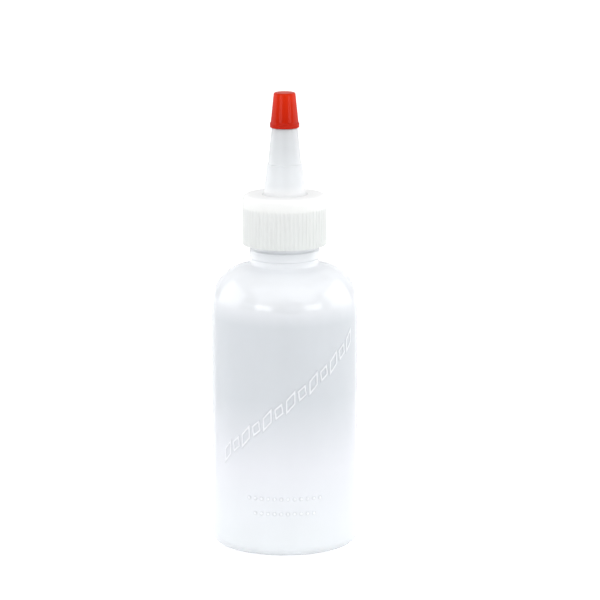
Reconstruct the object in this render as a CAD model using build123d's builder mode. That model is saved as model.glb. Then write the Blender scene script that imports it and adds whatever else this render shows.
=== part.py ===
"""Glue applicator bottle: squeeze bottle, screw cap, nozzle spout and push-on tip cap.

Frame: millimetres, +Z up along the bottle's axis, origin at the centre of its foot, front towards -Y.
"""
from build123d import *
from math import cos, radians, sin
import os

os.makedirs("parts", exist_ok=True)

# ---- Bottle body ----
BODY_R = 24.2            # outside radius of the round body
WALL = 1.0               # blown wall of the body
HEEL_R = 3.0             # outside radius of the corner between side and foot
HEEL_INNER_R = 2.5
SHOULDER_START_Z = 81.0  # where the straight side ends
SHOULDER_R = 12.5        # radius of the domed shoulder
SHOULDER_TILT = 12.0     # degrees that the shoulder still falls where it meets the neck

# ---- Foot: flat standing ring around a pushed-up floor ----
RING_INNER_R = 19.4
PUSH_UP_EDGE_R = 18.2
PUSH_UP_EDGE_Z = 0.9
PUSH_UP_Z = 2.2          # underside of the floor at the axis
FLOOR = 1.1              # thickness of the floor
PINCH_LENGTH = 24.0      # weld left by the mould where it pinched the tube shut
PINCH_WIDTH = 0.9
PINCH_BOTTOM_Z = 1.25
PINCH_TOP_Z = 2.5

# ---- Neck ----
MOUTH_Z = 113.8
NECK_R = 10.75           # outside, between the thread's turns
NECK_BORE_R = 9.35
NECK_ROOT_R = 11.1
BEAD_R = 11.6            # ring that shows just under the cap
BEAD_BOTTOM_Z = 96.2
BEAD_TOP_Z = 98.8

# ---- Screw thread, 24 mm neck, 8 turns to the inch ----
LEAD = 3.175
NECK_TURNS = 1.5
CAP_TURNS = 1.25
THREAD_Z = 107.4         # middle of the neck's ridge where it begins
THREAD_DEPTH = 1.1
THREAD_FOOT_HALF = 0.85  # half height of a ridge at its foot
THREAD_CREST_HALF = 0.3
THREAD_ROOTING = 0.35    # how far a ridge reaches into the wall that carries it

# ---- Screw cap ----
CAP_R = 13.9
CAP_BORE_R = 12.25
CAP_BOTTOM_Z = 100.5
CAP_TOP_Z = 117.2
CAP_PLATE = 1.55
CAP_SHOULDER_R = 1.8
CAP_HOLE_R = 7.45
GROOVE_COUNT = 60
GROOVE_R = 0.5
GROOVE_AXIS_R = 14.2     # circle on which the grooves between the grip ribs are centred
GROOVE_TOP_Z = 113.2

# ---- Spout ----
SEAT_GAP = 0.15          # clearance at the faces that meet when the cap is tight
PLUG_R = 9.1
PLUG_INNER_R = 8.0
PLUG_BOTTOM_Z = 109.8
FLANGE_R = 10.5
FLANGE = 1.6
CONE_FOOT_R = 7.1
STEP_Z = 127.2
STEP_LOWER_R = 5.72
STEP_UPPER_R = 5.45
SHOULDER_Z = 139.1       # small shoulder that the tip cap sits on
SHOULDER_OUT_R = 4.28
TIP_FOOT_R = 3.55
TIP_END_R = 2.2
TIP_END_Z = 148.9
ORIFICE_R = 0.9
SPOUT_WALL = 1.15

# ---- Tip cap ----
RIM_Z = 139.35
RIM_R = 4.85
RIM_BAND_Z = 140.6
RIM_BLEND_Z = 141.3
TIP_CAP_LOWER_R = 4.55
TIP_CAP_UPPER_R = 3.56
TIP_CAP_TOP_Z = 150.9
TIP_CAP_EDGE_R = 0.6
TIP_HOLLOW_FOOT_R = 3.75
TIP_HOLLOW_TOP_R = 2.45
TIP_HOLLOW_TOP_Z = 149.4

# ---- Raised pattern on the front: a rising row of lozenges over two short rows of dots ----
RELIEF = 0.35            # how far the pattern stands proud of the wall
LOZENGE_COUNT = 13
LOZENGE_START = (-21.0, 34.0)   # distance round the wall from the front, height
LOZENGE_END = (25.0, 70.5)
LOZENGE_WIDTH = 3.5
LOZENGE_TALL = 9.2
LOZENGE_SHORT = 6.4
LOZENGE_LEAN = -20.0
LOZENGE_LINE = 0.65      # width of a lozenge's outline
DOT_R = 0.55
DOT_PITCH = 2.2
DOT_ROWS = ((12, 19.6), (10, 14.6))   # dots in the row, height


def thread_ridge(outward, wall_r, start_z, turns):
    """A trapezoid ridge wound round the Z axis on a wall of radius wall_r, facing outward or inward."""
    side = 1 if outward else -1
    flank = (THREAD_FOOT_HALF - THREAD_CREST_HALF) / THREAD_DEPTH
    root_half = THREAD_FOOT_HALF + flank * THREAD_ROOTING
    root = -side * THREAD_ROOTING
    crest = side * THREAD_DEPTH
    with BuildPart() as ridge:
        with BuildLine() as path:
            Helix(LEAD, turns * LEAD, wall_r, center=(0, 0, start_z))
        turn = path.line
        with BuildSketch(Plane(origin=turn @ 0, x_dir=(1, 0, 0), z_dir=turn % 0)):
            with BuildLine():
                Polyline(
                    (root, -root_half),
                    (crest, -THREAD_CREST_HALF),
                    (crest, THREAD_CREST_HALF),
                    (root, root_half),
                    close=True,
                )
            make_face()
        sweep(path=turn, is_frenet=True)
    return ridge.part


def front_plane(around, height):
    """Plane touching the body's wall at a distance round it from the front, facing outwards."""
    turn = around / BODY_R
    out = (sin(turn), -cos(turn), 0)
    return Plane(
        origin=(BODY_R * out[0], BODY_R * out[1], height),
        x_dir=(cos(turn), sin(turn), 0),
        z_dir=out,
    )


# ---- Raised pattern, cut to the curve of the wall ----
with BuildPart() as relief:
    for index in range(LOZENGE_COUNT):
        share = index / (LOZENGE_COUNT - 1)
        around = LOZENGE_START[0] + share * (LOZENGE_END[0] - LOZENGE_START[0])
        height = LOZENGE_START[1] + share * (LOZENGE_END[1] - LOZENGE_START[1])
        tall = LOZENGE_SHORT if index % 2 else LOZENGE_TALL
        half_w = LOZENGE_WIDTH / 2
        half_h = tall / 2
        with BuildSketch(front_plane(around, height)):
            with Locations(Rotation(0, 0, LOZENGE_LEAN)):
                Polygon((half_w, 0), (0, half_h), (-half_w, 0), (0, -half_h))
            offset(amount=-LOZENGE_LINE, kind=Kind.INTERSECTION, mode=Mode.SUBTRACT)
        extrude(amount=1.5 * RELIEF + 0.6, both=True)
    for count, height in DOT_ROWS:
        for index in range(count):
            around = DOT_PITCH * (index - (count - 1) / 2)
            with BuildSketch(front_plane(around, height)):
                Circle(DOT_R)
            extrude(amount=RELIEF + 0.3, both=True)
    with BuildSketch(Plane.XY):
        Circle(BODY_R + RELIEF)
        Circle(BODY_R - WALL / 2, mode=Mode.SUBTRACT)
    extrude(amount=SHOULDER_START_Z, mode=Mode.INTERSECT)


# ---- Bottle: one blown shell, hollow to the mouth ----
shoulder_centre = (BODY_R - SHOULDER_R, SHOULDER_START_Z)
dome_end = radians(90 - SHOULDER_TILT)
inner_shoulder_r = SHOULDER_R - WALL
outer_dome = (
    shoulder_centre[0] + SHOULDER_R * cos(dome_end),
    shoulder_centre[1] + SHOULDER_R * sin(dome_end),
)
inner_dome = (
    shoulder_centre[0] + inner_shoulder_r * cos(dome_end),
    shoulder_centre[1] + inner_shoulder_r * sin(dome_end),
)
fall = sin(radians(SHOULDER_TILT)) / cos(radians(SHOULDER_TILT))
neck_root_z = outer_dome[1] + (outer_dome[0] - NECK_ROOT_R) * fall
inner_root_r = NECK_BORE_R + 1.6
inner_root_z = inner_dome[1] + (inner_dome[0] - inner_root_r) * fall
inner_heel_centre = (BODY_R - WALL - HEEL_INNER_R, FLOOR + HEEL_INNER_R)
push_up_arc_r = (PUSH_UP_EDGE_R**2 + (PUSH_UP_Z - PUSH_UP_EDGE_Z) ** 2) / (2 * (PUSH_UP_Z - PUSH_UP_EDGE_Z))

with BuildPart() as bottle:
    with BuildSketch(Plane.XZ) as wall:
        with BuildLine():
            Polyline(
                (NECK_BORE_R, MOUTH_Z),
                (NECK_R, MOUTH_Z),
                (NECK_R, BEAD_TOP_Z + 0.5),
                (BEAD_R, BEAD_TOP_Z),
                (BEAD_R, BEAD_BOTTOM_Z),
                (NECK_ROOT_R, BEAD_BOTTOM_Z - 0.4),
                (NECK_ROOT_R, neck_root_z),
                outer_dome,
            )
            CenterArc(shoulder_centre, SHOULDER_R, 0, 90 - SHOULDER_TILT)
            Line((BODY_R, SHOULDER_START_Z), (BODY_R, HEEL_R))
            CenterArc((BODY_R - HEEL_R, HEEL_R), HEEL_R, 270, 90)
            Polyline((BODY_R - HEEL_R, 0), (RING_INNER_R, 0), (PUSH_UP_EDGE_R, PUSH_UP_EDGE_Z))
            RadiusArc((PUSH_UP_EDGE_R, PUSH_UP_EDGE_Z), (0, PUSH_UP_Z), -push_up_arc_r)
            Line((0, PUSH_UP_Z), (0, PUSH_UP_Z + FLOOR))
            RadiusArc((0, PUSH_UP_Z + FLOOR), (PUSH_UP_EDGE_R, PUSH_UP_EDGE_Z + FLOOR), push_up_arc_r)
            Polyline(
                (PUSH_UP_EDGE_R, PUSH_UP_EDGE_Z + FLOOR),
                (RING_INNER_R, FLOOR),
                (inner_heel_centre[0], FLOOR),
            )
            CenterArc(inner_heel_centre, HEEL_INNER_R, 270, 90)
            Line((BODY_R - WALL, inner_heel_centre[1]), (BODY_R - WALL, SHOULDER_START_Z))
            CenterArc(shoulder_centre, inner_shoulder_r, 0, 90 - SHOULDER_TILT)
            Polyline(
                inner_dome,
                (inner_root_r, inner_root_z),
                (NECK_BORE_R, inner_root_z + 1.6),
                (NECK_BORE_R, MOUTH_Z),
            )
        make_face()
        mouth_and_bead = wall.vertices().filter_by(lambda v: v.Y > BEAD_BOTTOM_Z - 0.1)
        fillet(mouth_and_bead, 0.3)
    revolve(axis=Axis.Z)
    add(thread_ridge(True, NECK_R, THREAD_Z, NECK_TURNS))

    # Pinch-off weld across the underside, inside the push-up
    with BuildSketch(Plane.XY.offset(PINCH_BOTTOM_Z)):
        SlotOverall(PINCH_LENGTH, PINCH_WIDTH)
    extrude(amount=PINCH_TOP_Z - PINCH_BOTTOM_Z)
    add(relief.part)

bottle.part.label = "bottle"
export_step(bottle.part, "parts/bottle.step")

# ---- Screw cap: ribbed skirt, flat top with the spout's hole, thread inside ----
with BuildPart() as screw_cap:
    with BuildSketch(Plane.XZ) as cap_wall:
        with BuildLine():
            Polyline(
                (CAP_BORE_R, CAP_BOTTOM_Z),
                (CAP_R, CAP_BOTTOM_Z),
                (CAP_R, CAP_TOP_Z),
                (CAP_HOLE_R, CAP_TOP_Z),
                (CAP_HOLE_R, CAP_TOP_Z - CAP_PLATE),
                (CAP_BORE_R, CAP_TOP_Z - CAP_PLATE),
                close=True,
            )
        make_face()
        rim = cap_wall.vertices().filter_by(lambda v: v.X > CAP_R - 0.1)
        fillet(rim.sort_by(Axis.Y)[-1], CAP_SHOULDER_R)
        fillet(cap_wall.vertices().filter_by(lambda v: v.Y < CAP_BOTTOM_Z + 0.1), 0.4)
        fillet(cap_wall.vertices().filter_by(lambda v: v.X < CAP_HOLE_R + 0.1), 0.25)
    revolve(axis=Axis.Z)
    with BuildSketch(Plane.XY.offset(CAP_BOTTOM_Z)):
        with PolarLocations(GROOVE_AXIS_R, GROOVE_COUNT):
            Circle(GROOVE_R)
    extrude(amount=GROOVE_TOP_Z - CAP_BOTTOM_Z, mode=Mode.SUBTRACT)
    add(thread_ridge(False, CAP_BORE_R, THREAD_Z - LEAD / 2, CAP_TURNS))
screw_cap.part.label = "screw_cap"
export_step(screw_cap.part, "parts/screw_cap.step")

# ---- Spout: plug and flange below, stepped cone above, open at the tip ----
flange_z = MOUTH_Z + SEAT_GAP
step_top_z = STEP_Z + STEP_LOWER_R - STEP_UPPER_R
with BuildPart() as spout:
    with BuildSketch(Plane.XZ) as spout_wall:
        with BuildLine():
            Polyline(
                (PLUG_INNER_R, PLUG_BOTTOM_Z),
                (PLUG_R - 0.3, PLUG_BOTTOM_Z),
                (PLUG_R, PLUG_BOTTOM_Z + 0.8),
                (PLUG_R, flange_z),
                (FLANGE_R, flange_z),
                (FLANGE_R, flange_z + FLANGE),
                (CONE_FOOT_R, flange_z + FLANGE),
                (STEP_LOWER_R, STEP_Z),
                (STEP_UPPER_R, step_top_z),
                (SHOULDER_OUT_R, SHOULDER_Z),
                (TIP_FOOT_R, SHOULDER_Z),
                (TIP_END_R, TIP_END_Z),
                (ORIFICE_R, TIP_END_Z),
                (ORIFICE_R, TIP_END_Z - 3.0),
                (TIP_FOOT_R - SPOUT_WALL, SHOULDER_Z + 0.4),
                (SHOULDER_OUT_R - SPOUT_WALL + 0.1, SHOULDER_Z - 2.0),
                (STEP_UPPER_R - SPOUT_WALL, STEP_Z),
                (CONE_FOOT_R - SPOUT_WALL, flange_z),
                (PLUG_INNER_R, flange_z),
                close=True,
            )
        make_face()
        fillet(spout_wall.vertices().filter_by(lambda v: v.Y > TIP_END_Z - 0.1 and v.X > ORIFICE_R + 0.1), 0.4)
        fillet(spout_wall.vertices().filter_by(lambda v: v.X > FLANGE_R - 0.1), 0.25)
    revolve(axis=Axis.Z)
spout.part.label = "spout"
export_step(spout.part, "parts/spout.step")

# ---- Tip cap: hollow push-on cover with a flared rim ----
with BuildPart() as tip_cap:
    with BuildSketch(Plane.XZ) as tip_wall:
        with BuildLine():
            Polyline(
                (TIP_HOLLOW_FOOT_R, RIM_Z),
                (RIM_R, RIM_Z),
                (RIM_R, RIM_BAND_Z),
                (TIP_CAP_LOWER_R, RIM_BLEND_Z),
                (TIP_CAP_UPPER_R, TIP_CAP_TOP_Z),
                (0, TIP_CAP_TOP_Z),
                (0, TIP_HOLLOW_TOP_Z),
                (TIP_HOLLOW_TOP_R, TIP_HOLLOW_TOP_Z),
                close=True,
            )
        make_face()
        top_edge = tip_wall.vertices().filter_by(lambda v: v.Y > TIP_CAP_TOP_Z - 0.1 and v.X > 0.1)
        fillet(top_edge, TIP_CAP_EDGE_R)
        fillet(tip_wall.vertices().filter_by(lambda v: v.X > RIM_R - 0.1), 0.25)
    revolve(axis=Axis.Z)
tip_cap.part.label = "tip_cap"
export_step(tip_cap.part, "parts/tip_cap.step")
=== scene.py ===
"""Glue applicator bottle: the looks of the squeeze bottle, screw cap, spout and red tip cap."""
import math

import bmesh
import bpy
from mathutils import Euler, Matrix, Vector


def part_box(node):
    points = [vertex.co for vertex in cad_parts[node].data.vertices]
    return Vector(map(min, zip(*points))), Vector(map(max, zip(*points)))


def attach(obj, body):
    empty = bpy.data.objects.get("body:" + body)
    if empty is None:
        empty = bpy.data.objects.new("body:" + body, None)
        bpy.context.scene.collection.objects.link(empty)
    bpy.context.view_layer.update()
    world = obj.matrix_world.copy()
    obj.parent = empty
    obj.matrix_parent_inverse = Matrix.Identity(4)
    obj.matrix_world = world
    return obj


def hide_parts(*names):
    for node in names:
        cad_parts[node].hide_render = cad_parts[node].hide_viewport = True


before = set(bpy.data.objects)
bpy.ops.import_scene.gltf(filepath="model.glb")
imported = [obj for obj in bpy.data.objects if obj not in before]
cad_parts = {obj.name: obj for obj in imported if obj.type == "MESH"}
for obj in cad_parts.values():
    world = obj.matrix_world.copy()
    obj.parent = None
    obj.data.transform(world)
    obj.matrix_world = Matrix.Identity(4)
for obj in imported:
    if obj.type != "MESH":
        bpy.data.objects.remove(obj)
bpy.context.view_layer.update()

MM = 0.001

# ---- Sizes in metres, read from the CAD parts in model.glb where they give them ----
bottle_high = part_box("bottle")[1]
cap_low, cap_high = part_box("screw_cap")
spout_low, spout_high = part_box("spout")
tip_low, tip_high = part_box("tip_cap")

BODY_R = bottle_high[0]
MOUTH_Z = bottle_high[2]
CAP_R = cap_high[0]
CAP_BOTTOM_Z = cap_low[2]
CAP_TOP_Z = cap_high[2]
PLUG_BOTTOM_Z = spout_low[2]
TIP_END_Z = spout_high[2]
RIM_Z = tip_low[2]
TIP_CAP_TOP_Z = tip_high[2]

LEAD = 3.175 * MM
THREAD_Z = 107.4 * MM    # middle of the neck's ridge where it begins

FRONT = -90.0            # degrees round the axis, from +X
SLICE_STEPS = 20         # a spin slows down as its mesh grows, so a long one is made in slices


# ---------------------------------------------------------------- outlines

def arc(centre, radius, start, end, steps):
    """Points along a round stretch of an outline, from one angle in degrees to another."""
    points = []
    for index in range(steps + 1):
        turn = math.radians(start + (end - start) * index / steps)
        points.append((centre[0] + radius * math.cos(turn), centre[1] + radius * math.sin(turn)))
    return points


def run(start, end, steps):
    """Points along a straight stretch of an outline, without its first point."""
    return [
        (start[0] + (end[0] - start[0]) * index / steps, start[1] + (end[1] - start[1]) * index / steps)
        for index in range(1, steps + 1)
    ]


def rounded(corners, steps=5):
    """An outline through (radius, height, rounding) corners; a rounding of 0 keeps a corner sharp."""
    points = []
    for index, (across, up, radius) in enumerate(corners):
        here = Vector((across, up))
        if radius == 0:
            points.append((across, up))
            continue
        back = (Vector(corners[index - 1][:2]) - here).normalized()
        ahead = (Vector(corners[index + 1][:2]) - here).normalized()
        half = back.angle(ahead) / 2
        reach = radius / math.tan(half)
        centre = here + (back + ahead).normalized() * radius / math.sin(half)
        first = here + back * reach - centre
        last = here + ahead * reach - centre
        swing = first.angle_signed(last)
        for step in range(steps + 1):
            turned = first.copy()
            turned.rotate(Matrix.Rotation(-swing * step / steps, 2))
            points.append(tuple(centre + turned))
    return points


# ---------------------------------------------------------------- meshes

def append(whole, part):
    """Adds one bmesh's geometry to another and frees it."""
    carrier = bpy.data.meshes.new("carrier")
    part.to_mesh(carrier)
    part.free()
    whole.from_mesh(carrier)
    bpy.data.meshes.remove(carrier)


def spin_slice(outline, start, degrees, steps):
    """A slice of a spun surface: an outline of (radius, height) points turned about the Z axis."""
    bm = bmesh.new()
    turn = math.radians(start)
    verts = [bm.verts.new((r * math.cos(turn), r * math.sin(turn), z)) for r, z in outline]
    edges = [bm.edges.new(pair) for pair in zip(verts, verts[1:])]
    bmesh.ops.spin(
        bm, geom=verts + edges, cent=(0, 0, 0), axis=(0, 0, 1), dvec=(0, 0, 0),
        angle=math.radians(degrees), steps=steps, use_merge=False,
    )
    return bm


def spin_outline(outline, spans, start=FRONT):
    """Spins an outline once round the Z axis, in slices; each (degrees, steps) span has its own fineness."""
    whole = bmesh.new()
    for degrees, steps in spans:
        slices = math.ceil(steps / SLICE_STEPS)
        for index in range(slices):
            count = steps * (index + 1) // slices - steps * index // slices
            append(whole, spin_slice(outline, start, degrees * count / steps, count))
            start += degrees * count / steps
    bmesh.ops.remove_doubles(whole, verts=whole.verts, dist=0.002 * MM)
    bmesh.ops.dissolve_degenerate(whole, edges=whole.edges, dist=0.001 * MM)
    return whole


def finish_piece(name, bm, material, body, node):
    """Turns a bmesh into a smooth object that rides on a body and stands for a CAD node."""
    bmesh.ops.recalc_face_normals(bm, faces=bm.faces)
    mesh = bpy.data.meshes.new(name)
    bm.to_mesh(mesh)
    bm.free()
    for polygon in mesh.polygons:
        polygon.use_smooth = True
    mesh.materials.append(material)
    piece = bpy.data.objects.new(name, mesh)
    bpy.context.scene.collection.objects.link(piece)
    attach(piece, body)
    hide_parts(node)
    return piece


# ---------------------------------------------------------------- shader tools

class Wire:
    """An output socket of a material's nodes that can be used in Python arithmetic."""

    def __init__(self, material, socket):
        self.material = material
        self.socket = socket

    def calc(self, operation, *values):
        return self.material.node("ShaderNodeMath", {"operation": operation}, dict(enumerate(values)))

    def __add__(self, other):
        return self.calc("ADD", self, other)

    def __radd__(self, other):
        return self.calc("ADD", other, self)

    def __sub__(self, other):
        return self.calc("SUBTRACT", self, other)

    def __rsub__(self, other):
        return self.calc("SUBTRACT", other, self)

    def __mul__(self, other):
        return self.calc("MULTIPLY", self, other)

    def __rmul__(self, other):
        return self.calc("MULTIPLY", other, self)


class Material:
    def __init__(self, name):
        self.data = bpy.data.materials.new(name)
        self.data.use_nodes = True
        self.tree = self.data.node_tree
        self.tree.nodes.clear()

    def node(self, kind, settings=None, inputs=None, output=0):
        made = self.tree.nodes.new(kind)
        for name, value in (settings or {}).items():
            if name == "stops":
                ramp = made.color_ramp.elements
                while len(ramp) < len(value):
                    ramp.new(1.0)
                for element, (place, colour) in zip(ramp, value):
                    element.position = place
                    element.color = colour
            else:
                setattr(made, name, value)
        for name, value in (inputs or {}).items():
            socket = made.inputs[name]
            if isinstance(value, Wire):
                self.tree.links.new(value.socket, socket)
            else:
                socket.default_value = value
        return Wire(self, made.outputs[output])

    def place(self, scale=(1, 1, 1)):
        """Object coordinates, stretched by scale."""
        spot = self.node("ShaderNodeTexCoord", output="Object")
        return self.node("ShaderNodeMapping", inputs={"Vector": spot, "Scale": scale})

    def noise(self, scale, detail=3.0, stretch=(1, 1, 1), roughness=0.5):
        return self.node(
            "ShaderNodeTexNoise",
            inputs={"Vector": self.place(stretch), "Scale": scale, "Detail": detail, "Roughness": roughness},
        )

    def blend(self, share, first, second):
        """A colour between two colours."""
        return self.node(
            "ShaderNodeMix", {"data_type": "RGBA"},
            {0: share, 6: first, 7: second}, output=2,
        )

    def finish(self, surface):
        out = self.tree.nodes.new("ShaderNodeOutputMaterial")
        self.tree.links.new(surface.socket, out.inputs["Surface"])
        return self.data


# ---------------------------------------------------------------- materials

def translucent_plastic(
    name, tones, clear, glow, roughness, ripple=0.0, coat=0.5, ior=1.5, coat_ior=1.6, raised=False,
):
    """Milky plastic: a satin skin over a body that lets light through, part of it straight.

    tones are (height, colour) pairs up the piece, the colour changing with height; on the bottle, cap and
    spout they are painted light and shade, lighter where light falls and darker where shade falls. clear is
    the share that light passes straight, and glow the share of the rest that it passes scattered.
    """
    mat = Material(name)
    # colour by height: on the bottle, cap and spout this paints light and shade
    height = mat.node("ShaderNodeSeparateXYZ", inputs={0: mat.place()}, output=2)
    stops = [(place / TIP_CAP_TOP_Z, (*colour, 1)) for place, colour in tones]
    base = mat.node("ShaderNodeValToRGB", {"stops": stops}, {0: height * (1 / TIP_CAP_TOP_Z)})
    cloud = mat.noise(60.0, 4.0, (1, 1, 0.35))
    deeper = mat.node(
        "ShaderNodeMix", {"data_type": "RGBA", "blend_type": "MULTIPLY"},
        {0: 0.12 * cloud, 6: base}, output=2,
    )
    # painted highlight and painted shade on the raised pattern
    if raised:
        deeper = paint_relief_light_and_shade(mat, deeper)
    grain = mat.noise(900.0, 2.0)
    waves = mat.noise(55.0, 2.0, (1, 1, 0.25))
    bump = mat.node(
        "ShaderNodeBump",
        inputs={"Strength": ripple, "Distance": 0.2 * MM, "Height": waves + 0.08 * grain},
    )
    skin = mat.node(
        "ShaderNodeBsdfPrincipled",
        inputs={
            "Base Color": deeper, "Roughness": roughness + 0.1 * cloud, "IOR": ior,
            "Specular IOR Level": 0.3, "Coat Weight": coat, "Coat Roughness": 0.06,
            "Coat IOR": coat_ior, "Normal": bump,
        },
    )
    inner = mat.node("ShaderNodeBsdfTranslucent", inputs={"Color": deeper, "Normal": bump})
    milky = mat.node("ShaderNodeMixShader", inputs={0: glow, 1: skin, 2: inner})
    straight = mat.node("ShaderNodeBsdfTransparent", inputs={"Color": (0.97, 0.98, 1.0, 1)})
    return mat.finish(mat.node("ShaderNodeMixShader", inputs={0: clear, 1: milky, 2: straight}))


def paint_relief_light_and_shade(mat, base):
    """Paints light and shade on the raised pattern: a painted highlight, white along the top of each line,
    and painted shade, greyer down its two flanks.
    """
    rise = mat.node("ShaderNodeAttribute", {"attribute_name": "raised"}, output="Fac")
    flank_shade = rise * (1 - rise) * 4
    # painted shade, greyer down the flanks of each line
    base = mat.blend(0.30 * flank_shade, base, (0.42, 0.44, 0.46, 1))
    # painted highlight, white along the top of each line
    return mat.blend(0.8 * rise * rise * rise, base, (0.97, 0.975, 0.98, 1))


# Painted light and shade up the bottle: whiter at the foot where floor light falls, greyer up the body, a
# painted highlight band on the shoulder, greyer at the bead and painted light above it that lifts the cap's
# shade on the neck.
natural_ldpe = translucent_plastic(
    "natural_ldpe",
    [
        (5 * MM, (0.88, 0.90, 0.91)), (28 * MM, (0.82, 0.825, 0.85)), (52 * MM, (0.66, 0.68, 0.70)),
        (77 * MM, (0.66, 0.68, 0.70)), (84 * MM, (0.84, 0.85, 0.86)), (94 * MM, (0.96, 0.97, 0.98)),
        (98.5 * MM, (0.79, 0.81, 0.82)), (99.2 * MM, (0.93, 0.94, 0.95)),
    ],
    0.36, 0.28, 0.30, ripple=0.13, coat=0.9, coat_ior=1.7, raised=True,
)
# Painted light up the cap: a greyer skirt, lighter towards the top and painted white on the top edge and top
# as a painted highlight where the top light falls.
white_cap_plastic = translucent_plastic(
    "white_cap_plastic",
    [
        (101 * MM, (0.70, 0.72, 0.71)), (112.4 * MM, (0.72, 0.735, 0.73)),
        (113.4 * MM, (0.80, 0.81, 0.80)), (115.2 * MM, (0.81, 0.815, 0.81)),
        (116.3 * MM, (0.86, 0.865, 0.86)), (117.0 * MM, (1.0, 1.0, 1.0)),
    ],
    0.06, 0.2, 0.32, coat=0.3, coat_ior=1.5,
)
# Painted light up the spout: white at its foot, lifting the shade where it meets the cap, and darker up the
# cone.
spout_plastic = translucent_plastic(
    "spout_plastic",
    [
        (118.4 * MM, (1.0, 1.0, 1.0)), (120.6 * MM, (0.84, 0.855, 0.865)),
        (133 * MM, (0.71, 0.725, 0.735)),
    ],
    0.25, 0.35, 0.38, ripple=0.06, coat=0.15,
)
red_tip_plastic = translucent_plastic(
    "red_tip_plastic", [(139 * MM, (0.44, 0.012, 0.002)), (150 * MM, (0.60, 0.024, 0.004))],
    0.0, 0.2, 0.30, ripple=0.08, coat=0.1, ior=1.15,
)


# ---------------------------------------------------------------- bottle

WALL = 1.0 * MM
PUSH_UP_Z = 2.2 * MM     # underside of the floor at the axis
PUSH_UP_EDGE_R = 18.2 * MM
PUSH_UP_EDGE_Z = 0.9 * MM
RING_INNER_R = 19.4 * MM
BASE_WALL = 1.1 * MM
HEEL_R = 3.0 * MM
INNER_HEEL_R = 2.5 * MM
SHOULDER_START_Z = 81.0 * MM
SHOULDER_R = 12.5 * MM
SHOULDER_END_Z = SHOULDER_START_Z + SHOULDER_R
SHOULDER_TILT = 12.0     # degrees by which the top of the shoulder falls outwards
NECK_ROOT_R = 11.1 * MM
BEAD_R = 11.6 * MM
BEAD_BOTTOM_Z = 96.2 * MM
BEAD_TOP_Z = 98.8 * MM
NECK_R = 10.75 * MM
NECK_BORE_R = 9.35 * MM
BORE_FLARE = 1.6 * MM    # how far the bore opens out where it meets the shoulder

RELIEF = 0.35 * MM       # how far the pattern stands proud of the wall
DOTS_LOW = 13.0 * MM
DOTS_HIGH = 21.0 * MM
RELIEF_LOW = 28.0 * MM
RELIEF_HIGH = 76.5 * MM
RELIEF_SPAN = 130.0      # degrees of wall that carry the pattern
RELIEF_STEPS = 204
SEAM_SPAN = 2.0          # degrees of fine mesh at each mould line
SEAM_RISE = 0.09 * MM
SEAM_HALF_W = 0.3 * MM
SHRINK = 0.06 * MM       # keeps the uneven wall within its true radius
FADE = 8 * MM            # over which the unevenness dies away at the heel and the shoulder

LOZENGES = 13
LOZENGE_START = Vector((-21.0, 34.0)) * MM
LOZENGE_END = Vector((25.0, 70.5)) * MM
LOZENGE_HALF_W = 1.75 * MM
LOZENGE_TALL = 4.6 * MM
LOZENGE_SHORT = 3.2 * MM
LOZENGE_LEAN = math.radians(-20.0)
LOZENGE_LINE = 0.65 * MM
DOT_R = 0.55 * MM
DOT_PITCH = 2.2 * MM
DOT_ROWS = ((12, 19.6 * MM), (10, 14.6 * MM))
SOFT_EDGE = 0.3 * MM     # over which the pattern rises from the wall


def push_up(lift):
    """The domed middle of the base, from the axis outwards, raised by lift."""
    rise = PUSH_UP_Z - PUSH_UP_EDGE_Z
    radius = (PUSH_UP_EDGE_R**2 + rise**2) / (2 * rise)
    edge = math.degrees(math.acos(PUSH_UP_EDGE_R / radius))
    return arc((0, PUSH_UP_Z - radius + lift), radius, 90, edge, 4)


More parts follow.
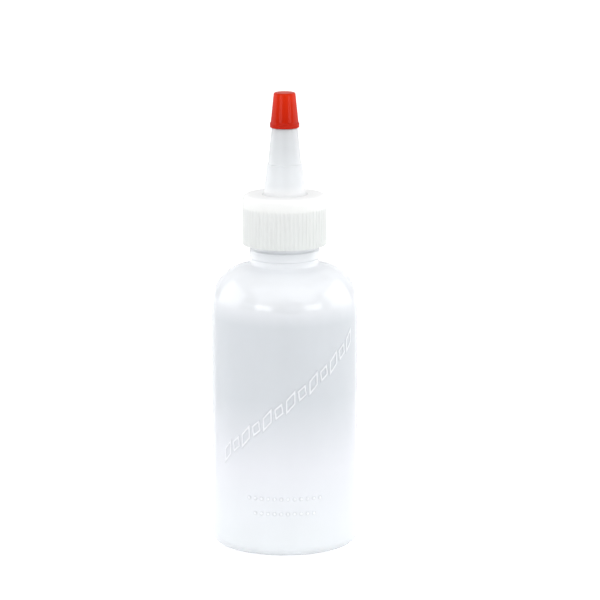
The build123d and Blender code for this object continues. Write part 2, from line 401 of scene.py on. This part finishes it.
def bottle_outline():
    """Outer and inner outline of the shell, from the axis under the floor to the axis above it."""
    dome = (BODY_R - SHOULDER_R, SHOULDER_START_Z)
    tilt = 90 - SHOULDER_TILT
    fall = math.tan(math.radians(SHOULDER_TILT))
    outer_dome = arc(dome, SHOULDER_R, 0, tilt, 18)
    inner_dome = arc(dome, SHOULDER_R - WALL, tilt, 0, 10)
    root_z = outer_dome[-1][1] + (outer_dome[-1][0] - NECK_ROOT_R) * fall
    inner_root_r = NECK_BORE_R + BORE_FLARE
    inner_root_z = inner_dome[0][1] + (inner_dome[0][0] - inner_root_r) * fall
    neck = rounded(
        [
            (*outer_dome[-1], 0),
            (NECK_ROOT_R, root_z, 0.7 * MM),
            (NECK_ROOT_R, BEAD_BOTTOM_Z - 0.4 * MM, 0.2 * MM),
            (BEAD_R, BEAD_BOTTOM_Z, 0.35 * MM),
            (BEAD_R, BEAD_TOP_Z, 0.35 * MM),
            (NECK_R, BEAD_TOP_Z + 0.5 * MM, 0.3 * MM),
            (NECK_R, MOUTH_Z, 0.35 * MM),
            (NECK_BORE_R, MOUTH_Z, 0.35 * MM),
            (NECK_BORE_R, inner_root_z + BORE_FLARE, 0.8 * MM),
            (inner_root_r, inner_root_z, 0.8 * MM),
            (*inner_dome[0], 0),
        ],
        3,
    )
    inner_heel = (BODY_R - WALL - INNER_HEEL_R, BASE_WALL + INNER_HEEL_R)
    outline = push_up(0)
    outline += rounded(
        [(PUSH_UP_EDGE_R, PUSH_UP_EDGE_Z, 0), (RING_INNER_R, 0, 0.6 * MM), (BODY_R - HEEL_R, 0, 0)], 2,
    )[1:-1]
    outline += arc((BODY_R - HEEL_R, HEEL_R), HEEL_R, 270, 360, 10)
    outline += run((BODY_R, HEEL_R), (BODY_R, DOTS_LOW), 6)
    outline += run((BODY_R, DOTS_LOW), (BODY_R, DOTS_HIGH), 32)
    outline += run((BODY_R, DOTS_HIGH), (BODY_R, RELIEF_LOW), 6)
    outline += run((BODY_R, RELIEF_LOW), (BODY_R, RELIEF_HIGH), 190)
    outline += run((BODY_R, RELIEF_HIGH), (BODY_R, SHOULDER_START_Z), 3)
    outline += outer_dome[1:] + neck[1:] + inner_dome[1:]
    outline += run(inner_dome[-1], (BODY_R - WALL, inner_heel[1]), 4)
    outline += arc(inner_heel, INNER_HEEL_R, 360, 270, 6)[1:]
    outline += [(RING_INNER_R + 0.2 * MM, BASE_WALL)]
    outline += push_up(BASE_WALL)[::-1]
    return outline


def soft_step(distance):
    """1 inside, 0 outside, with a smooth rise over the soft edge; distance is negative inside."""
    share = min(max(0.5 - distance / SOFT_EDGE, 0.0), 1.0)
    return share * share * (3 - 2 * share)


def pattern_height(around, height):
    """How much of the pattern's full height the wall has at a distance round it and a height."""
    best = 0.0
    for row_count, row_z in DOT_ROWS:
        if abs(height - row_z) < 2 * DOT_R:
            place = round(around / DOT_PITCH + (row_count - 1) / 2)
            place = min(max(place, 0), row_count - 1)
            middle = DOT_PITCH * (place - (row_count - 1) / 2)
            best = max(best, soft_step(math.hypot(around - middle, height - row_z) - DOT_R))
    along = (LOZENGE_END - LOZENGE_START) / (LOZENGES - 1)
    nearest = round((Vector((around, height)) - LOZENGE_START).dot(along) / along.length_squared)
    for index in range(max(nearest - 2, 0), min(nearest + 3, LOZENGES)):
        middle = LOZENGE_START + index * along
        across = around - middle.x
        up = height - middle.y
        if max(abs(across), abs(up)) > 1.5 * LOZENGE_TALL:
            continue
        turned = abs(across * math.cos(LOZENGE_LEAN) + up * math.sin(LOZENGE_LEAN))
        raised = abs(up * math.cos(LOZENGE_LEAN) - across * math.sin(LOZENGE_LEAN))
        half_h = LOZENGE_SHORT if index % 2 else LOZENGE_TALL
        outside = turned * half_h + raised * LOZENGE_HALF_W - LOZENGE_HALF_W * half_h
        outside /= math.hypot(LOZENGE_HALF_W, half_h)
        best = max(best, soft_step(abs(outside + LOZENGE_LINE / 2) - LOZENGE_LINE / 2))
    return best


def wall_wander(turn, height):
    """Slight unevenness of a blown wall, in metres."""
    slow = math.sin(2 * turn + 0.7) * math.sin(height / (19 * MM) + 0.4)
    quick = math.sin(5 * turn - 1.1) * math.sin(height / (7 * MM))
    return (0.05 * slow + 0.015 * quick) * MM


def on_outside(radius, height):
    """Whether a point of the shell is on its outer wall, between the heel and the neck."""
    if not HEEL_R <= height <= SHOULDER_END_Z or radius < NECK_R:
        return False
    if radius > BODY_R - 0.3 * WALL:
        return True
    from_dome = math.hypot(radius - BODY_R + SHOULDER_R, height - SHOULDER_START_Z)
    return height > SHOULDER_START_Z and from_dome > SHOULDER_R - 0.3 * WALL


def make_bottle():
    side = (180 - RELIEF_SPAN) / 2 - SEAM_SPAN / 2
    spans = [
        (RELIEF_SPAN, RELIEF_STEPS), (side, 8), (SEAM_SPAN, 6),
        (180 - SEAM_SPAN, 48), (SEAM_SPAN, 6), (side, 8),
    ]
    bm = spin_outline(bottle_outline(), spans, FRONT - RELIEF_SPAN / 2)
    raised = bm.verts.layers.float.new("raised")
    for vert in bm.verts:
        x, y, z = vert.co
        radius = math.hypot(x, y)
        if not on_outside(radius, z):
            continue
        turn = math.atan2(y, x)
        from_front = turn - math.radians(FRONT)
        from_front = math.atan2(math.sin(from_front), math.cos(from_front))
        grow = 0.0
        if DOTS_LOW < z < RELIEF_HIGH and abs(from_front) < math.radians(RELIEF_SPAN / 2):
            vert[raised] = pattern_height(from_front * BODY_R, z)
            grow += RELIEF * vert[raised]
        from_seam = abs(math.sin(turn)) * BODY_R
        grow += SEAM_RISE * max(0.0, 1 - from_seam / SEAM_HALF_W)
        fade = min(1.0, (z - HEEL_R) / FADE, (SHOULDER_END_Z - z) / FADE)
        grow += max(0.0, fade) * (wall_wander(turn, z) - SHRINK)
        vert.co.x += grow * x / radius
        vert.co.y += grow * y / radius
    append(bm, thread_ridge(NECK_R, 1, THREAD_Z, 1.5))
    add_pinch_weld(bm)
    return finish_piece("bottle_shell", bm, natural_ldpe, "bottle", "bottle")


def thread_ridge(wall_r, side, start_z, turns):
    """A thread ridge wound on a round wall, outwards or inwards: its section is spun with a rise."""
    bm = bmesh.new()
    steps_per_turn = 72
    depth = 1.1 * MM
    root = 0.3 * MM
    foot_half = 0.95 * MM
    crest_half = 0.3 * MM
    crest_r = 0.15 * MM
    outline = rounded(
        [
            (-root, -foot_half, 0), (depth, -crest_half, crest_r),
            (depth, crest_half, crest_r), (-root, foot_half, 0),
        ],
        3,
    )
    verts = [bm.verts.new((wall_r + side * out, 0, start_z + up)) for out, up in outline]
    edges = [bm.edges.new(pair) for pair in zip(verts, verts[1:] + verts[:1])]
    bm.faces.new(verts)
    swept = bmesh.ops.spin(
        bm, geom=verts + edges, cent=(0, 0, 0), axis=(0, 0, 1), dvec=(0, 0, LEAD / steps_per_turn),
        angle=2 * math.pi * turns, steps=int(steps_per_turn * turns), use_merge=False,
    )
    last = [item for item in swept["geom_last"] if isinstance(item, bmesh.types.BMEdge)]
    bmesh.ops.contextual_create(bm, geom=last)
    return bm


def add_pinch_weld(bm):
    """The weld across the underside where the mould pinched the tube shut."""
    size = Matrix.Diagonal((24 * MM, 0.9 * MM, 1.2 * MM, 1))
    made = bmesh.ops.create_cube(bm, size=1, matrix=Matrix.Translation((0, 0, 1.85 * MM)) @ size)
    edges = {edge for vert in made["verts"] for edge in vert.link_edges}
    bmesh.ops.bevel(
        bm, geom=list(edges), offset=0.25 * MM, segments=3, profile=0.5, affect="EDGES", material=-1,
    )


# ---------------------------------------------------------------- screw cap

GROOVES = 60
GROOVE_STEPS = 8
GROOVE_R = 0.5 * MM
GROOVE_AXIS_R = 14.2 * MM
GROOVE_TOP_Z = 113.2 * MM
GROOVE_RUN_OUT = 0.5 * MM    # over which each groove ends below the smooth band
LEAST_CAP_WALL = 0.8 * MM
CAP_BORE_R = 12.25 * MM
CAP_HOLE_R = 7.45 * MM
CAP_PLATE = 1.55 * MM
CAP_SHOULDER_R = 1.8 * MM


def groove_depth(turn, height):
    """How deep the grip's groove is at an angle and a height."""
    pitch = 2 * math.pi / GROOVES
    offset = (turn / pitch - round(turn / pitch)) * pitch * CAP_R
    if abs(offset) >= GROOVE_R:
        return 0.0
    depth = CAP_R - GROOVE_AXIS_R + math.sqrt(GROOVE_R**2 - offset**2)
    run_out = min(1.0, max(0.0, (GROOVE_TOP_Z - height) / GROOVE_RUN_OUT))
    return max(0.0, depth) * run_out


def make_screw_cap():
    under = CAP_TOP_Z - CAP_PLATE
    skirt_z = CAP_BOTTOM_Z + 1 * MM
    outline = rounded([
        (CAP_BORE_R, skirt_z, 0), (CAP_BORE_R, CAP_BOTTOM_Z, 0.4 * MM),
        (CAP_R, CAP_BOTTOM_Z, 0.4 * MM), (CAP_R, skirt_z, 0),
    ])
    outline += run((CAP_R, skirt_z), (CAP_R, GROOVE_TOP_Z - GROOVE_RUN_OUT), 4)
    outline += run((CAP_R, GROOVE_TOP_Z - GROOVE_RUN_OUT), (CAP_R, GROOVE_TOP_Z), 4)
    outline += arc((CAP_R - CAP_SHOULDER_R, CAP_TOP_Z - CAP_SHOULDER_R), CAP_SHOULDER_R, 0, 90, 10)
    outline += rounded([
        (CAP_R - CAP_SHOULDER_R, CAP_TOP_Z, 0), (CAP_HOLE_R, CAP_TOP_Z, 0.25 * MM),
        (CAP_HOLE_R, under, 0.25 * MM), (CAP_BORE_R, under, 0.4 * MM), (CAP_BORE_R, skirt_z, 0),
    ])[1:]
    bm = spin_outline(outline, [(360, GROOVES * GROOVE_STEPS)], 0)
    for vert in bm.verts:
        x, y, z = vert.co
        radius = math.hypot(x, y)
        if radius > CAP_BORE_R + 0.5 * MM and z < GROOVE_TOP_Z:
            limit = max(0.0, radius - CAP_BORE_R - LEAST_CAP_WALL)
            sink = min(groove_depth(math.atan2(y, x), z), limit)
            vert.co.x -= sink * x / radius
            vert.co.y -= sink * y / radius
    append(bm, thread_ridge(CAP_BORE_R, -1, THREAD_Z - LEAD / 2, 1.25))
    return finish_piece("ribbed_cap", bm, white_cap_plastic, "screw_cap", "screw_cap")


# ---------------------------------------------------------------- spout and tip cap

PLUG_R = 9.1 * MM
PLUG_INNER_R = 8.0 * MM
SEAT_Z = MOUTH_Z + 0.15 * MM
FLANGE_R = 10.5 * MM
FLANGE_TOP_Z = SEAT_Z + 1.6 * MM
FOOT_R = 7.42 * MM       # fills the cap's hole, out of sight below its top
CONE_FOOT_R = 6.9 * MM
STEP_Z = 127.2 * MM
STEP_LOWER_R = 5.72 * MM
STEP_UPPER_R = 5.45 * MM
CONE_TOP_Z = 139.1 * MM
CONE_TOP_R = 4.28 * MM
TIP_FOOT_R = 3.55 * MM
TIP_END_R = 2.2 * MM
ORIFICE_R = 0.9 * MM
BORE_FOOT_R = 5.95 * MM
SPOUT_WALL = 1.15 * MM

HOLLOW_FOOT_R = 3.75 * MM
HOLLOW_TOP_R = 2.45 * MM
HOLLOW_TOP_Z = 149.4 * MM
RIM_R = tip_high[0]
RIM_BAND_Z = 140.6 * MM
RIM_BLEND_Z = 141.3 * MM
TIP_CAP_UPPER_R = 3.56 * MM
DISH_R = 2.0 * MM
DISH = 0.12 * MM         # how far the middle of the tip cap's top is sunk


def make_spout():
    outline = rounded([
        (PLUG_INNER_R, PLUG_BOTTOM_Z, 0),
        (PLUG_R - 0.3 * MM, PLUG_BOTTOM_Z, 0.2 * MM),
        (PLUG_R, PLUG_BOTTOM_Z + 0.8 * MM, 0.3 * MM),
        (PLUG_R, SEAT_Z, 0.2 * MM),
        (FLANGE_R, SEAT_Z, 0.25 * MM),
        (FLANGE_R, FLANGE_TOP_Z, 0.25 * MM),
        (FOOT_R, FLANGE_TOP_Z, 0.1 * MM),
        (FOOT_R, CAP_TOP_Z - 0.1 * MM, 0.15 * MM),
        (CONE_FOOT_R, CAP_TOP_Z + 0.4 * MM, 0.4 * MM),
        (STEP_LOWER_R, STEP_Z, 0.1 * MM),
        (STEP_UPPER_R, STEP_Z + STEP_LOWER_R - STEP_UPPER_R, 0.1 * MM),
        (CONE_TOP_R, CONE_TOP_Z, 0.15 * MM),
        (TIP_FOOT_R, CONE_TOP_Z, 0.15 * MM),
        (TIP_END_R, TIP_END_Z, 0.4 * MM),
        (ORIFICE_R, TIP_END_Z, 0.2 * MM),
        (ORIFICE_R, TIP_END_Z - 3.0 * MM, 0.3 * MM),
        (TIP_FOOT_R - SPOUT_WALL, CONE_TOP_Z + 0.4 * MM, 0.5 * MM),
        (CONE_TOP_R - SPOUT_WALL + 0.1 * MM, CONE_TOP_Z - 2.0 * MM, 0.5 * MM),
        (STEP_UPPER_R - SPOUT_WALL, STEP_Z, 1.0 * MM),
        (BORE_FOOT_R, SEAT_Z, 0.4 * MM),
        (PLUG_INNER_R, SEAT_Z, 0.3 * MM),
        (PLUG_INNER_R, PLUG_BOTTOM_Z, 0),
    ])
    bm = spin_outline(outline, [(360, 128)])
    return finish_piece("spout_cone", bm, spout_plastic, "spout", "spout")


def make_tip_cap():
    outline = rounded([
        (0, HOLLOW_TOP_Z, 0),
        (HOLLOW_TOP_R, HOLLOW_TOP_Z, 0.4 * MM),
        (HOLLOW_FOOT_R, RIM_Z, 0.2 * MM),
        (RIM_R, RIM_Z, 0.25 * MM),
        (RIM_R, RIM_BAND_Z, 0.25 * MM),
        (RIM_R - 0.3 * MM, RIM_BLEND_Z, 0.2 * MM),
        (TIP_CAP_UPPER_R, TIP_CAP_TOP_Z, 0.6 * MM),
        (DISH_R, TIP_CAP_TOP_Z, 0.4 * MM),
        (0, TIP_CAP_TOP_Z - DISH, 0),
    ])
    bm = spin_outline(outline, [(360, 96)])
    return finish_piece("red_tip", bm, red_tip_plastic, "tip_cap", "tip_cap")


make_bottle()
make_screw_cap()
make_spout()
make_tip_cap()


# ---------------------------------------------------------------- room, light and camera

FLOOR_HALF = 6.0         # half the width of the floor
LIGHT_AIM_Z = 0.08
CAMERA_PLACE = (0.00505, -1.2, 0.325)
CAMERA_PITCH = 11.47     # degrees below the horizontal
LENS = 221.8


def make_floor():
    bm = bmesh.new()
    bmesh.ops.create_grid(bm, x_segments=1, y_segments=1, size=FLOOR_HALF)
    mesh = bpy.data.meshes.new("floor")
    bm.to_mesh(mesh)
    bm.free()
    mat = Material("floor_paper")
    grain = mat.noise(4.0, 2.0)
    base = mat.blend(grain, (0.955, 0.955, 0.955, 1), (0.965, 0.965, 0.965, 1))
    mesh.materials.append(mat.finish(mat.node(
        "ShaderNodeBsdfPrincipled",
        inputs={
            "Base Color": base, "Roughness": 0.8, "Specular IOR Level": 0.2,
            "Emission Color": (1, 1, 1, 1), "Emission Strength": 0.2,
        },
    )))
    floor = bpy.data.objects.new("floor", mesh)
    bpy.context.scene.collection.objects.link(floor)


def make_light(name, azimuth, elevation, distance, size, watts):
    """A soft box that faces the bottle; azimuth 0 is the front, and it grows to the right."""
    data = bpy.data.lights.new(name, "AREA")
    data.shape = "RECTANGLE"
    data.size = size[0]
    data.size_y = size[1]
    data.energy = watts
    lamp = bpy.data.objects.new(name, data)
    turn = math.radians(azimuth)
    rise = math.radians(elevation)
    lamp.location = (
        distance * math.cos(rise) * math.sin(turn),
        -distance * math.cos(rise) * math.cos(turn),
        LIGHT_AIM_Z + distance * math.sin(rise),
    )
    aim = Vector((0, 0, LIGHT_AIM_Z)) - lamp.location
    lamp.rotation_euler = aim.to_track_quat("-Z", "Y").to_euler()
    bpy.context.scene.collection.objects.link(lamp)


def make_sun():
    """Broad, even light from overhead, slightly from behind."""
    data = bpy.data.lights.new("overhead", "SUN")
    data.energy = 0.5
    data.angle = math.radians(100)
    lamp = bpy.data.objects.new("overhead", data)
    lamp.rotation_euler = Euler((math.radians(-12), 0, 0))
    bpy.context.scene.collection.objects.link(lamp)


def make_camera():
    data = bpy.data.cameras.new("camera")
    data.sensor_width = 36.0
    data.lens = LENS
    data.clip_start = 0.05
    camera = bpy.data.objects.new("camera", data)
    camera.location = CAMERA_PLACE
    camera.rotation_euler = Euler((math.radians(90 - CAMERA_PITCH), 0, 0))
    bpy.context.scene.collection.objects.link(camera)
    bpy.context.scene.camera = camera


make_floor()
make_light("left_box", -35, 10, 1.6, (0.78, 0.5), 5.2)
make_light("right_box", 47, 9.5, 1.6, (0.78, 0.5), 5.2)
make_light("top_box", 0, 58, 1.6, (2.8, 1.65), 22)
make_light("left_side", -105, 18, 1.6, (1.6, 1.25), 15)
make_light("right_side", 105, 18, 1.6, (1.6, 1.25), 17)
make_light("back_box", 180, 22, 2.4, (3.6, 1.6), 14)
make_sun()
make_camera()

world = bpy.data.worlds.new("studio")
world.use_nodes = True
world.node_tree.nodes["Background"].inputs["Color"].default_value = (1, 1, 1, 1)
world.node_tree.nodes["Background"].inputs["Strength"].default_value = 0.25
bpy.context.scene.world = world
bpy.context.scene.view_settings.view_transform = "Standard"
